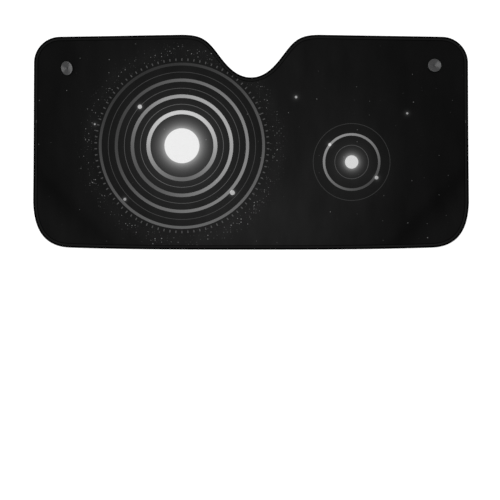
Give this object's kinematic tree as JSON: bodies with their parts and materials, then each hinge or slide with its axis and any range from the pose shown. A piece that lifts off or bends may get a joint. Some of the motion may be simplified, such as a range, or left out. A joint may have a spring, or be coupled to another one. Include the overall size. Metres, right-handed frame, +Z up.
{
  "type": "car sunshade",
  "caption": "Flat windscreen sunshade of printed cloth on foil-backed foam, bound edge, mirror notch in the top edge and suction cups near the upper corners.",
  "frame": {"origin": "on the surface that the shade lies on, under the middle of its outline", "axes": "+X across the windscreen, +Y towards the notched top edge, +Z up out of the printed face"},
  "size_m": [1.45, 0.716, 0.0276],
  "materials": {
    "foil_foam": "satin",
    "printed_cloth": "matte",
    "binding_tape": "matte",
    "clear_cup": "gloss",
    "print_pale": "matte",
    "print_grey": "matte",
    "print_dim": "matte",
    "print_dark": "matte"
  },
  "bodies": {
    "panel": {"insulation_sheet": "foil_foam", "printed_face": "printed_cloth", "edge_binding": "binding_tape", "print_large_disc": "print_pale", "print_large_ring_1": "print_grey", "print_large_ring_2": "print_grey", "print_large_ring_3": "print_dim", "print_large_ring_4": "print_dark", "print_small_disc": "print_pale", "print_small_ring": "print_dim"},
    "left_cup": {"suction_cup_left": "clear_cup"},
    "right_cup": {"suction_cup_right": "clear_cup"}
  },
  "joints": [
    {"name": "left_cup_spin", "type": "hinge", "parent": "panel", "child": "left_cup", "pos_m": [-0.608, 0.246, 0.007], "axis": [0, 0, 1], "continuous": true},
    {"name": "right_cup_spin", "type": "hinge", "parent": "panel", "child": "right_cup", "pos_m": [0.608, 0.254, 0.007], "axis": [0, 0, 1], "continuous": true}
  ]
}
